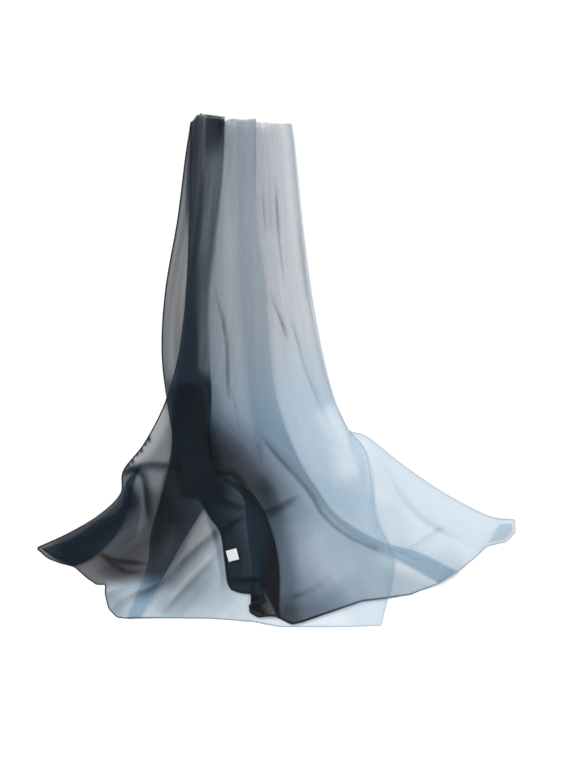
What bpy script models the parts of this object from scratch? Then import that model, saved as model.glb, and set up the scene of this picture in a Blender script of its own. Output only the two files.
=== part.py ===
"""A long chiffon scarf, laid flat: one rectangle of 1.70 m by 0.70 m, folded in half across its length.

The fold is at +Y, gathered to a quarter of the cloth's width, and the two tails fan out from it towards
-Y, the upper tail on the lower one. The cloth is dyed dark along one long edge and pale along the other.
Each tail is pleated lengthwise, so it is drawn as stretches that lie on each other, and each stretch that
shows is a thin wall of its own. Where the hidden layers are gathered, the lowest walls thicken into one
rounded heap, and everything above follows it. X runs across the scarf, Y along it, Z is up from the
surface that it lies on, and the origin is the middle of its footprint. Tables are in millimetres.
"""
from collections import namedtuple

import bpy
import numpy as np

MM = 0.001
WALL = 1.1  # thickness of one stretch of cloth, drawn as a wall
PITCH = 2.3  # from the underside of one stretch to that of the next one on it
SEAM = 0.3  # between two pieces that meet edge to edge
HEM = 4.0  # width of the rolled hem
KEEP = 10.0  # a stretch that lies on another stays at its full height this far past its edge...
REACH = 60.0  # ...and is down on the surface from here on
ROWS = 31  # cross rows of a wall, from the top fold to the end hem
END_BEND = 0.72  # share of the length after which a wall bends to meet its end hem
LEAST_ROWS = 5  # of a short stretch
SHARPEST_MITRE = 0.7  # a hem's corner is cut off where it would be sharper than this
TOP = 410.0  # Y of the line where the tails run into the turned top fold
LABEL_THICK = 0.8  # the woven label

# Cross sections of the upper tail, from the top fold to the end hem. Each column is one long line of the
# cloth, as (x, y): its dark hem, its folds, whose edges show, its tucks, turned in under them, its pale hem.
UpperSection = namedtuple("UpperSection", "dark_hem dark_fold dark_tuck mid_fold mid_tuck pale_hem")
UPPER = (
    UpperSection((-142, 410), (-86, 410), (-118, 410), (-34, 410), (-66, 410), (24, 410)),
    UpperSection((-151, 352), (-88, 350), (-119, 350), (-36, 350), (-68, 350), (31, 350)),
    UpperSection((-164, 250), (-96, 247), (-128, 247), (-32, 242), (-68, 242), (41, 250)),
    UpperSection((-184, 133), (-109, 133), (-144, 133), (-18, 133), (-64, 133), (56, 133)),
    UpperSection((-190, 33), (-111, 37), (-149, 37), (-11, 33), (-58, 37), (74, 33)),
    UpperSection((-181, -50), (-108, -47), (-144, -50), (-1, -47), (-48, -47), (94, -45)),
    UpperSection((-164, -137), (-112, -127), (-132, -133), (28, -130), (-18, -123), (118, -98)),
    UpperSection((-144, -183), (-81, -167), (-92, -173), (61, -190), (34, -178), (151, -112)),
    UpperSection((-112, -238), (-41, -203), (-56, -208), (102, -242), (81, -233), (212, -160)),
    UpperSection((-91, -270), (-14, -250), (-49, -263), (166, -282), (129, -275), (282, -207)),
    UpperSection((-84, -312), (4, -320), (-39, -317), (236, -303), (199, -313), (352, -243)),
    UpperSection((-79, -353), (12, -393), (-41, -397), (301, -335), (268, -353), (396, -250)),
)

# The lower tail's, in the same way. Its dark side has a second tuck, which opens in the left wing.
LowerSection = namedtuple(
    "LowerSection", "dark_hem wing_fold wing_tuck dark_fold dark_tuck pale_hem"
)
LOWER = (
    LowerSection((-142, 410), (-129, 410), (-129, 410), (-86, 410), (-118, 410), (24, 410)),
    LowerSection((-142, 350), (-129, 350), (-129, 350), (-89, 350), (-116, 350), (29, 350)),
    LowerSection((-144, 247), (-129, 247), (-129, 247), (-99, 247), (-119, 247), (38, 247)),
    LowerSection((-149, 133), (-134, 133), (-134, 133), (-112, 133), (-128, 133), (51, 133)),
    LowerSection((-161, 33), (-142, 33), (-142, 33), (-116, 33), (-136, 33), (68, 42)),
    LowerSection((-181, -53), (-161, -53), (-161, -53), (-118, -50), (-144, -53), (88, -30)),
    LowerSection((-219, -122), (-199, -128), (-206, -127), (-88, -115), (-154, -130), (118, -97)),
    LowerSection((-254, -168), (-236, -183), (-249, -185), (-42, -162), (-178, -187), (146, -133)),
    LowerSection((-259, -207), (-246, -230), (-259, -230), (-112, -215), (-194, -233), (158, -187)),
    LowerSection((-294, -242), (-268, -275), (-294, -255), (-149, -275), (-204, -275), (166, -250)),
    LowerSection((-344, -272), (-306, -312), (-338, -278), (-178, -327), (-216, -328), (194, -320)),
    LowerSection((-398, -297), (-336, -327), (-374, -300), (-226, -412), (-249, -412), (174, -425)),
)

# The end hems, each from the stretch's left line to its right one. The ones not named here are straight.
ENDS = {
    "lower_dark": (
        (-398, -297), (-381, -312), (-361, -320), (-336, -327), (-314, -347), (-299, -357),
        (-285, -357), (-285, -376), (-279, -397), (-266, -411), (-249, -413), (-226, -412),
    ),
    "lower_pale": (
        (-249, -412), (-211, -412), (-111, -413), (-41, -418), (6, -427), (114, -427), (174, -425),
    ),
    "upper_dark": ((-79, -353), (-72, -362), (-61, -367), (-44, -368), (-24, -378), (12, -393)),
    "upper_mid": (
        (-41, -397), (-38, -412), (-24, -408), (1, -407), (26, -422), (69, -408),
        (142, -383), (186, -378), (222, -373), (268, -355), (301, -335),
    ),
    "upper_pale": (
        (268, -353), (301, -335), (329, -313), (349, -293), (381, -285), (397, -270), (396, -250),
    ),
}

# Each stretch from the lowest to the highest: the lines that it spans, the sections that it starts from
# and how many columns its wall has. The tucked ones are short, and the others run the whole length.
Stretch = namedtuple("Stretch", "name table left right start columns end dye")
STRETCHES = (
    Stretch("lower_dark", LOWER, "dark_hem", "dark_fold", 0, 11, "lower_dark", "night"),
    Stretch("wing_band", LOWER, "wing_tuck", "wing_fold", 6.5, 3, None, "black"),
    Stretch("lower_pale", LOWER, "dark_tuck", "pale_hem", 0, 12, "lower_pale", "mist"),
    Stretch("upper_pale", UPPER, "mid_tuck", "pale_hem", 0, 8, "upper_pale", "cloud"),
    Stretch("upper_mid", UPPER, "dark_tuck", "mid_fold", 0, 13, "upper_mid", "slate"),
    Stretch("black_tuck", UPPER, "dark_tuck", "dark_fold", 7.4, 3, None, "black"),
    Stretch("upper_dark", UPPER, "dark_hem", "dark_fold", 0, 7, "upper_dark", "night"),
)

# Which borders of which stretches carry the rolled hem.
HEMMED = (
    ("lower_dark", "left"), ("lower_dark", "end"), ("lower_pale", "end"), ("lower_pale", "right"),
    ("upper_pale", "end"), ("upper_pale", "right"), ("upper_mid", "end"),
    ("upper_dark", "left"), ("upper_dark", "end"),
)

# Long swellings, as (height, half width, path). The heap holds the gathered hidden layers and is solid.
# The ridges are folds that stand up, and the cloth arches over them.
Swelling = namedtuple("Swelling", "height width path")
HEAP = (Swelling(8, 82, ((-60, 440), (-60, 130), (-60, -50), (-85, -170))),)
RIDGES = (
    Swelling(4, 34, ((-100, 400), (-112, 110), (-116, -90))),
    Swelling(4, 34, ((-34, 400), (-20, 150), (-8, 0), (22, -125))),
    Swelling(3, 30, ((14, 380), (38, 120), (72, -40))),
    Swelling(4.5, 60, ((30, -135), (105, -235), (200, -295), (270, -320))),
    Swelling(5, 50, ((165, -165), (255, -225), (335, -258))),
    Swelling(4, 50, ((-5, -170), (55, -290), (85, -360))),
    Swelling(4, 48, ((-150, -190), (-175, -300), (-215, -365))),
    Swelling(4, 38, ((-262, -222), (-318, -276), (-370, -302))),
)

# The turned top fold: how far it stands out past TOP at each x.
TOP_FOLD = (
    (-142, 10), (-131, 18), (-111, 16), (-94, 13), (-61, 7), (-41, 8), (-19, 11), (-8, 6), (24, 6),
)
TOP_FOLD_STEPS = 8

# The tip of the right wing, turned in under it.
TIP_TURN = ((372, -256), (362, -269), (352, -288), (380, -282), (393, -269), (392, -256))

# The care label on the dark hem: its centre, its width and length, and its tilt in degrees.
LABEL_AT, LABEL_SIZE, LABEL_TILT = (-73, -308), (18, 19), 15

# Dye, as linear red, green, blue.
DYES = {
    "black": (0.006, 0.009, 0.014),
    "night": (0.030, 0.040, 0.052),
    "slate": (0.21, 0.27, 0.33),
    "mist": (0.48, 0.56, 0.62),
    "cloud": (0.66, 0.75, 0.84),
    "label": (0.72, 0.74, 0.74),
}
FINISH = {"roughness": 0.55, "metallic": 0.0}


def smooth(points, at):
    """Points of a Catmull-Rom curve through these points, where `at` counts them from 0."""
    points = np.array(points, float)
    padded = np.vstack([2 * points[0] - points[1], points, 2 * points[-1] - points[-2]])
    first = np.clip(np.floor(at).astype(int), 0, len(points) - 2)
    t = (at - first)[:, None]
    a, b, c, d = (padded[first + k] for k in range(4))
    return 0.5 * (2 * b + (c - a) * t + (2 * a - 5 * b + 4 * c - d) * t**2 + (3 * b - a - 3 * c + d) * t**3)


def along(points, shares):
    """Points of a polyline at these shares of its length."""
    points = np.array(points, float)
    length = np.r_[0, np.cumsum(np.linalg.norm(np.diff(points, axis=0), axis=1))]
    at = shares * length[-1]
    return np.stack([np.interp(at, length, points[:, k]) for k in range(2)], axis=1)


def eased(share):
    """0 to 1 with a level start and end."""
    share = np.clip(share, 0, 1)
    return share**2 * (3 - 2 * share)


def grid_of(stretch):
    """The stretch's plan, as rows of (x, y) from its left line to its right one."""
    last = len(stretch.table) - 1
    rows = max(LEAST_ROWS, round(ROWS * (last - stretch.start) / last))
    at = np.linspace(stretch.start, last, rows)
    left = smooth([getattr(s, stretch.left) for s in stretch.table], at)
    right = smooth([getattr(s, stretch.right) for s in stretch.table], at)
    across = np.linspace(0, 1, stretch.columns + 1)
    grid = left[:, None] + (right - left)[:, None] * across[:, None]
    if stretch.end:
        bend = eased((at / last - END_BEND) / (1 - END_BEND))
        grid += bend[:, None, None] * (along(ENDS[stretch.end], across) - grid[-1])
    return grid


def outline_of(grid):
    return np.vstack([grid[0, :-1], grid[:-1, -1], grid[-1, :0:-1], grid[:0:-1, 0]])


def nearest(points, path, is_ring):
    """Each point's distance to a polyline or a ring."""
    start = np.array(path, float)
    stop = np.roll(start, -1, axis=0)
    if not is_ring:
        start, stop = start[:-1], stop[:-1]
    run = stop - start
    to = points[:, None] - start
    share = np.clip((to * run).sum(2) / np.maximum((run**2).sum(1), 1e-9), 0, 1)
    return np.linalg.norm(to - share[..., None] * run, axis=2).min(1)


def is_inside(points, ring):
    start, stop = np.array(ring), np.roll(ring, -1, axis=0)
    x, y = points[:, :1], points[:, 1:]
    spans = (start[:, 1] > y) != (stop[:, 1] > y)
    rise = np.where(stop[:, 1] == start[:, 1], 1, stop[:, 1] - start[:, 1])
    crossing = start[:, 0] + (y - start[:, 1]) / rise * (stop[:, 0] - start[:, 0])
    return (spans & (x < crossing)).sum(1) % 2 == 1


def cover(points, ring):
    """1 on a stretch and just past its edge, falling smoothly to 0 at REACH."""
    away = np.where(is_inside(points, ring), 0, nearest(points, ring, True))
    return 1 - eased((away - KEEP) / (REACH - KEEP))


def swell(points, swellings):
    """How far these swellings stand up. Where two meet, the higher one counts."""
    found = [s.height * (1 - eased(nearest(points, s.path, False) / s.width)) for s in swellings]
    return np.max(found, axis=0)


def heights(points, below):
    """The underside and the top of a stretch that lies on the stretches with these outlines."""
    points = np.array(points, float).reshape(-1, 2)
    covers = [cover(points, ring) for ring in below] + [np.zeros(len(points))]
    lift = swell(points, RIDGES) + PITCH * np.sum(covers, axis=0)
    heap = swell(points, HEAP)
    return lift + heap * np.max(covers, axis=0), lift + heap + WALL


def solid(name, grid, under, over, dye):
    """A closed wall between an underside and a top, over a plan of rows of (x, y)."""
    rows, columns = grid.shape[:2]
    plan = grid.reshape(-1, 2)
    low = np.column_stack([plan, under])
    high = np.column_stack([plan, over])
    count = rows * columns
    index = np.arange(count).reshape(rows, columns)
    quads = np.stack([index[:-1, :-1], index[1:, :-1], index[1:, 1:], index[:-1, 1:]], axis=2).reshape(-1, 4)
    turn = np.cross(plan[quads[:, 1]] - plan[quads[:, 0]], plan[quads[:, 3]] - plan[quads[:, 0]]).sum()
    if turn < 0:
        quads = quads[:, ::-1]
    rim = np.r_[index[0, :-1], index[:-1, -1], index[-1, :0:-1], index[:0:-1, 0]]
    if turn > 0:
        rim = rim[::-1]
    after = np.roll(rim, -1)
    sides = np.stack([rim, after, after + count, rim + count], axis=1)
    faces = np.vstack([quads + count, quads[:, ::-1], sides])
    add_object(name, np.vstack([low, high]), faces, dye)


def material_of(dye):
    found = bpy.data.materials.get(dye)
    if found:
        return found
    made = bpy.data.materials.new(dye)
    made.use_nodes = True
    shader = made.node_tree.nodes["Principled BSDF"]
    shader.inputs["Base Color"].default_value = (*DYES[dye], 1)
    shader.inputs["Roughness"].default_value = FINISH["roughness"]
    shader.inputs["Metallic"].default_value = FINISH["metallic"]
    made.diffuse_color = (*DYES[dye], 1)
    return made


def add_object(name, points, faces, dye):
    mesh = bpy.data.meshes.new(name)
    mesh.from_pydata((points * MM).tolist(), [], [tuple(int(i) for i in face) for face in faces])
    mesh.materials.append(material_of(dye))
    mesh.update()
    made = bpy.data.objects.new(name, mesh)
    bpy.context.scene.collection.objects.link(made)
    made.parent = scarf
    return made


def moved_out(border, inner, distance):
    """A border moved sideways, away from the row or column next to it, with mitred corners."""
    run = np.diff(border, axis=0)
    side = np.column_stack([run[:, 1], -run[:, 0]]) / np.linalg.norm(run, axis=1)[:, None]
    if ((border - inner)[:-1] * side).sum() < 0:
        side = -side
    before, after = np.vstack([side[:1], side]), np.vstack([side, side[-1:]])
    mitre = before + after
    mitre /= np.maximum((mitre * after).sum(1), SHARPEST_MITRE)[:, None]
    return border + distance * mitre


def add_hem(stretch, grid, edge, below):
    border = {"left": grid[:, 0], "right": grid[:, -1], "end": grid[-1]}[edge]
    inner = {"left": grid[:, 1], "right": grid[:, -2], "end": grid[-2]}[edge]
    strip = np.stack([moved_out(border, inner, d) for d in (SEAM, SEAM + HEM)], axis=1)
    under, over = heights(strip, below)
    solid(f"hem_{stretch.name}_{edge}", strip, under, over, stretch.dye)


def add_top_fold(below):
    """The gathered turn from the lower tail up and over into the upper one: half an ellipse at each x."""
    place = np.array(TOP_FOLD, float)
    _, over = heights(np.column_stack([place[:, 0], np.full(len(place), TOP)]), below)
    turn = np.linspace(-np.pi / 2, np.pi / 2, TOP_FOLD_STEPS + 1)
    rings = []
    for (x, reach), top in zip(place, over):
        y = TOP + SEAM + reach * np.cos(turn)
        z = top / 2 * (1 + np.sin(turn))
        rings.append(np.column_stack([np.full(len(turn), x), y, z]))
    points = np.vstack(rings)
    index = np.arange(len(points)).reshape(len(rings), -1)
    after = np.roll(index, -1, axis=1)
    sides = np.stack([index[:-1], after[:-1], after[1:], index[1:]], axis=2).reshape(-1, 4)
    faces = [*sides.tolist(), index[0, ::-1].tolist(), index[-1].tolist()]
    add_object("top_fold", points, faces, "slate")


def add_tip_turn(below):
    upper, lower = np.array(TIP_TURN[:3], float), np.array(TIP_TURN[:2:-1], float)
    grid = np.stack([upper, lower], axis=1)
    under, over = heights(grid, below)
    solid("tip_turn", grid, under, over, "cloud")
    return outline_of(grid)


def add_label(below):
    tilt = np.radians(LABEL_TILT)
    x, y = np.array([np.cos(tilt), np.sin(tilt)]), np.array([-np.sin(tilt), np.cos(tilt)])
    across, down = np.linspace(-0.5, 0.5, 3) * LABEL_SIZE[0], np.linspace(-0.5, 0.5, 3) * LABEL_SIZE[1]
    grid = np.array(LABEL_AT) + across[None, :, None] * x + down[:, None, None] * y
    under, over = heights(grid, below)
    solid("care_label", grid, under, over - WALL + LABEL_THICK, "label")


for old in list(bpy.data.objects):
    bpy.data.objects.remove(old)

scarf = bpy.data.objects.new("scarf", None)
bpy.context.scene.collection.objects.link(scarf)

laid = []
for stretch in STRETCHES:
    if stretch.name == "upper_pale":
        laid.append(add_tip_turn(laid))
    grid = grid_of(stretch)
    solid(stretch.name, grid, *heights(grid, laid), stretch.dye)
    for owner, edge in HEMMED:
        if owner == stretch.name:
            add_hem(stretch, grid, edge, laid)
    laid.append(outline_of(grid))
add_label(laid)
add_top_fold(laid[:-1])
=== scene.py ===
# %% [markdown]
# # A dyed chiffon scarf, laid flat
# The scarf is one long rectangle of sheer chiffon, taken to be cut 1.70 m by 0.70 m. It is dyed from
# black-navy at one long edge to pale blue-grey at the other, folded in half, gathered at the fold and
# spread out below.
# The CAD frame holds plain walls, one for each stretch that shows. This lesson lays one thin sheet over
# that form, in the same place, and then gives it creases, a rolled hem, a care label and its dye.

from collections import namedtuple

import bpy
import numpy as np
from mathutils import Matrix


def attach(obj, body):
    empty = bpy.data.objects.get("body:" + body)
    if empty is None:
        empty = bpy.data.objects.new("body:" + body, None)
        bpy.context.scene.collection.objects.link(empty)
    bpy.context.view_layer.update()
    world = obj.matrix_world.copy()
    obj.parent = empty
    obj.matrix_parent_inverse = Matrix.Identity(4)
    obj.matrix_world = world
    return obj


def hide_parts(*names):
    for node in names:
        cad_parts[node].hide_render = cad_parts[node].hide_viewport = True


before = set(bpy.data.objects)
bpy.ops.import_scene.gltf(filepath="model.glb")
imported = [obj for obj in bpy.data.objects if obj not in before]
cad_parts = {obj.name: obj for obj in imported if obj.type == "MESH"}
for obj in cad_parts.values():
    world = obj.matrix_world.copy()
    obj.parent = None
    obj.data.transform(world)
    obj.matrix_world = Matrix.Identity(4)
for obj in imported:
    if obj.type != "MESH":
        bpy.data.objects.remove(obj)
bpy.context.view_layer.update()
MM = 0.001
CUT_WIDTH, CUT_LENGTH = 0.70, 1.70  # of the whole rectangle, in metres, as it is taken to be

# %% [markdown]
# ## The sheet's plan
# Chiffon that is pleated by hand and let go fans out from where it was held. A cloth simulation would find
# some such shape, but never this one, so the sheet is drawn from its long lines instead: the two hems, and
# every fold and tuck between them. A fold is where the cloth turns under, and a tuck is where it turns
# back out. Each row of a table is one cross section of a tail, in millimetres, from the top down.

# %% The long lines of the cloth
LINES = "dark_hem wing_fold wing_tuck dark_fold dark_tuck mid_fold mid_tuck pale_hem"
Section = namedtuple("Section", LINES)
WING_SHARES = (0.20, 0.32)  # where the wing tuck's two lines lie while it is closed


def closed(dark_hem, dark_fold, *others):
    """A section whose wing tuck is closed: its two lines lie flat between the dark hem and fold."""
    hem, fold = np.array(dark_hem, float), np.array(dark_fold, float)
    wing = [tuple(hem + share * (fold - hem)) for share in WING_SHARES]
    return Section(dark_hem, *wing, dark_fold, *others)


# %% The upper tail
UPPER = (  # dark hem, dark fold, dark tuck, mid fold, mid tuck, pale hem
    closed((-142, 410), (-86, 410), (-118, 410), (-34, 410), (-66, 410), (24, 410)),
    closed((-151, 352), (-88, 350), (-119, 350), (-36, 350), (-68, 350), (31, 350)),
    closed((-164, 250), (-96, 247), (-138, 247), (-32, 242), (-68, 242), (41, 250)),
    closed((-184, 133), (-109, 133), (-149, 133), (-18, 133), (-64, 133), (56, 133)),
    closed((-190, 33), (-111, 37), (-161, 37), (-11, 33), (-58, 37), (74, 33)),
    closed((-181, -50), (-108, -47), (-168, -50), (-1, -47), (-48, -47), (94, -45)),
    closed((-164, -137), (-112, -127), (-132, -133), (28, -130), (-18, -123), (118, -98)),
    closed((-144, -183), (-96, -170), (-102, -175), (61, -190), (34, -178), (151, -112)),
    closed((-112, -238), (-44, -202), (-58, -208), (102, -242), (81, -233), (212, -160)),
    closed((-91, -270), (-14, -250), (-49, -263), (166, -282), (129, -275), (282, -207)),
    closed((-84, -312), (4, -320), (-39, -317), (236, -303), (199, -313), (352, -243)),
    closed((-79, -353), (4, -404), (0, -402), (301, -335), (268, -353), (396, -250)),
)

# %% The lower tail, whose wing tuck opens in the left wing
LOWER = (
    closed((-142, 410), (-86, 410), (-118, 410), (-34, 410), (-66, 410), (24, 410)),
    closed((-142, 350), (-89, 350), (-116, 350), (-34, 350), (-64, 350), (29, 350)),
    closed((-144, 247), (-99, 247), (-134, 247), (-38, 247), (-64, 247), (38, 247)),
    closed((-149, 133), (-112, 133), (-144, 133), (-38, 133), (-61, 133), (51, 133)),
    closed((-160, 33), (-116, 33), (-156, 33), (-34, 33), (-52, 33), (68, 42)),
    closed((-184, -53), (-118, -50), (-173, -53), (-31, -50), (-44, -50), (88, -30)),
    Section(
        (-219, -122), (-207, -124), (-198, -125), (-106, -118),
        (-175, -130), (-24, -128), (-34, -128), (118, -97),
    ),
    Section(
        (-254, -168), (-236, -183), (-249, -185), (-92, -168),
        (-186, -187), (-30, -192), (-14, -192), (146, -133),
    ),
    Section(
        (-259, -207), (-246, -230), (-259, -230), (-112, -215),
        (-198, -233), (-35, -250), (-13, -250), (158, -187),
    ),
    Section(
        (-294, -242), (-268, -275), (-296, -250), (-149, -275),
        (-210, -275), (-40, -303), (-14, -303), (166, -250),
    ),
    Section(
        (-344, -272), (-306, -312), (-338, -278), (-178, -327),
        (-216, -328), (-48, -358), (-18, -358), (194, -320),
    ),
    Section(
        (-398, -297), (-336, -327), (-389, -297), (-226, -412),
        (-249, -412), (-60, -415), (-26, -416), (174, -425),
    ),
)

# %% The end hems
# Each End is the hem from one long line to another, as the cloth really lies. The rest run straight.
End = namedtuple("End", "first last points")
LOWER_ENDS = (
    End("dark_hem", "wing_fold", ((-398, -297), (-381, -312), (-361, -320), (-336, -327))),
    End("wing_fold", "wing_tuck", ((-336, -327), (-368, -311), (-389, -297))),
    End("wing_tuck", "dark_fold", (
        (-389, -297), (-368, -312), (-336, -327), (-314, -347), (-299, -357), (-284, -356),
        (-285, -372), (-279, -397), (-266, -411), (-249, -413), (-226, -412),
    )),
    End("dark_tuck", "pale_hem", (
        (-249, -412), (-211, -412), (-111, -413), (-41, -418), (6, -427), (114, -427), (174, -425),
    )),
)
UPPER_ENDS = (
    End("dark_hem", "dark_fold", (
        (-79, -353), (-74, -363), (-60, -368), (-41, -370), (-24, -374), (-20, -384),
        (-43, -387), (-42, -402), (-30, -409), (-12, -407), (4, -408),
    )),
    End("dark_tuck", "mid_fold", (
        (0, -408), (26, -421), (43, -417), (69, -408),
        (142, -383), (186, -378), (222, -373), (268, -355), (301, -335),
    )),
    End("mid_tuck", "pale_hem", (
        (268, -353), (301, -335), (329, -313), (349, -293), (381, -285), (397, -270), (396, -250),
    )),
)
print(len(UPPER), "cross sections a tail, and", len(Section._fields), "long lines")

# %% [markdown]
# ## From lines to a grid
# The sections are too far apart to be a mesh. A Catmull-Rom curve through the points of each long line
# gives as many rows as the cloth needs, and straight lines between neighbouring long lines give the
# columns. One extra column lies close to each side of a fold, where the cloth bends hardest.

# %% Curves through points
def smooth(points, at):
    """Points of a Catmull-Rom curve through these points, where `at` counts them from 0."""
    points = np.array(points, float)
    padded = np.vstack([2 * points[0] - points[1], points, 2 * points[-1] - points[-2]])
    first = np.clip(np.floor(at).astype(int), 0, len(points) - 2)
    t = (at - first)[:, None]
    a, b, c, d = (padded[first + k] for k in range(4))
    return 0.5 * (2 * b + (c - a) * t + (2 * a - 5 * b + 4 * c - d) * t**2 + (3 * b - a - 3 * c + d) * t**3)


def lengths_of(points):
    """How far along a polyline each of its points is."""
    return np.r_[0, np.cumsum(np.linalg.norm(np.diff(points, axis=0), axis=1))]


def along(points, shares):
    """Points of a polyline at these shares of its length."""
    points = np.array(points, float)
    length = lengths_of(points)
    return np.stack([np.interp(shares * length[-1], length, points[:, k]) for k in range(2)], axis=1)


def eased(share):
    """0 to 1 with a level start and end."""
    share = np.clip(share, 0, 1)
    return share**2 * (3 - 2 * share)


# %% Rows and columns of a tail
COLUMNS = (16, 12, 48, 14, 86, 12, 52)  # between neighbouring long lines
CLOSE, CLOSE_SHARE = 0.4, 0.02  # mm from a fold to the next column, or a share of the width if less
STARTS = np.r_[0, np.cumsum(COLUMNS)]
COLUMN_OF = dict(zip(Section._fields, STARTS))
STRAIGHT_ROWS, FANNED_ROWS = 60, 122  # the gathered part has long, simple folds, so it needs fewer rows
FAN_STARTS = 5  # the section where the tails start to fan out
END_BEND = 0.72  # share of the length after which the rows bend to meet their end hem


def tail_rows():
    straight = np.linspace(0, FAN_STARTS, STRAIGHT_ROWS, endpoint=False)
    return np.r_[straight, np.linspace(FAN_STARTS, len(UPPER) - 1, FANNED_ROWS)]


def tail_plan(table, ends):
    """The (x, y) of every vertex of a tail, as rows from the top fold to the end hem."""
    at = tail_rows()
    lines = [smooth([getattr(s, name) for s in table], at) for name in Section._fields]
    parts = []
    for left, right, count in zip(lines, lines[1:], COLUMNS):
        width = np.linalg.norm(right - left, axis=1)
        close = np.minimum(CLOSE / width, CLOSE_SHARE)[:, None]
        inner = np.broadcast_to(np.arange(1, count - 2) / (count - 2), (len(at), count - 3))
        share = np.hstack([np.zeros_like(close), close, inner, 1 - close])
        parts.append(left[:, None] + (right - left)[:, None] * share[..., None])
    plan = np.concatenate([*parts, lines[-1][:, None]], axis=1)
    bend = eased((at / at[-1] - END_BEND) / (1 - END_BEND))
    for end in ends:
        span = slice(COLUMN_OF[end.first], COLUMN_OF[end.last] + 1)
        row = plan[-1, span]
        shares = lengths_of(row) / lengths_of(row)[-1]
        plan[:, span] += bend[:, None, None] * (along(end.points, shares) - row)
    return plan


lower_plan = tail_plan(LOWER, LOWER_ENDS)
upper_plan = tail_plan(UPPER, UPPER_ENDS)
print("each tail has", lower_plan.shape[0], "rows of", lower_plan.shape[1], "vertices")

# %% [markdown]
# ## Creases and ridges
# Most of what the eye reads as cloth is its small relief. Laid chiffon arches in broad soft ridges, with
# narrow valleys pressed between them. Every one here is given as a path with a height and a width, and
# the narrow ones fade out at both ends. All layers share this relief, as layers that lie on each other
# do, so that it doesn't push one through the next.

# %% How far a point is from a path
Fold = namedtuple("Fold", "height width path")


def near(points, path, chunk=20000):
    """Each point's distance to a path, its place along it from 0 to 1, and if it is left of it."""
    start, stop = np.array(path[:-1], float), np.array(path[1:], float)
    run, length = stop - start, lengths_of(np.array(path, float))
    distances, places, lefts = [], [], []
    for first in range(0, len(points), chunk):
        to = points[first:first + chunk, None] - start
        share = np.clip((to * run).sum(2) / np.maximum((run**2).sum(1), 1e-9), 0, 1)
        distance = np.linalg.norm(to - share[..., None] * run, axis=2)
        best = distance.argmin(1)
        rows = np.arange(len(best))
        distances.append(distance[rows, best])
        places.append(length[best] + share[rows, best] * (length[best + 1] - length[best]))
        ahead, aside = run[best], to[rows, best]
        lefts.append(ahead[:, 0] * aside[:, 1] > ahead[:, 1] * aside[:, 0])
    return np.concatenate(distances), np.concatenate(places) / length[-1], np.concatenate(lefts)


PATH_POINTS = 16  # of the smooth curve through a crease's path


def curved(path):
    return smooth(path, np.linspace(0, len(path) - 1, PATH_POINTS))


def bell(distance, width, steep=1.6, power=2):
    """1 on a path and falling away beside it. A higher power is more level in the middle."""
    return np.exp(-((steep * distance / width) ** power))


def faded(place, speed):
    """0 at both ends of a path and 1 between them. A higher speed fades over a shorter stretch."""
    return eased(speed * place) * eased(speed * (1 - place))


# %% Broad ridges, as in the CAD model
HEAP = Fold(8, 82, ((-60, 440), (-60, 130), (-60, -50), (-85, -170)))  # the gathered layers inside
RIDGES = (
    Fold(4, 34, ((-100, 400), (-112, 110), (-116, -90))),
    Fold(4, 34, ((-34, 400), (-20, 150), (-8, 0), (22, -125))),
    Fold(3, 30, ((14, 380), (38, 120), (72, -40))),
    Fold(4.5, 60, ((30, -135), (105, -235), (200, -295), (270, -320))),
    Fold(5, 50, ((165, -165), (255, -225), (335, -258))),
    Fold(4, 50, ((-5, -170), (55, -290), (85, -360))),
    Fold(4, 48, ((-150, -190), (-175, -300), (-215, -365))),
    Fold(4, 38, ((-262, -222), (-318, -276), (-370, -302))),
)

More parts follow.
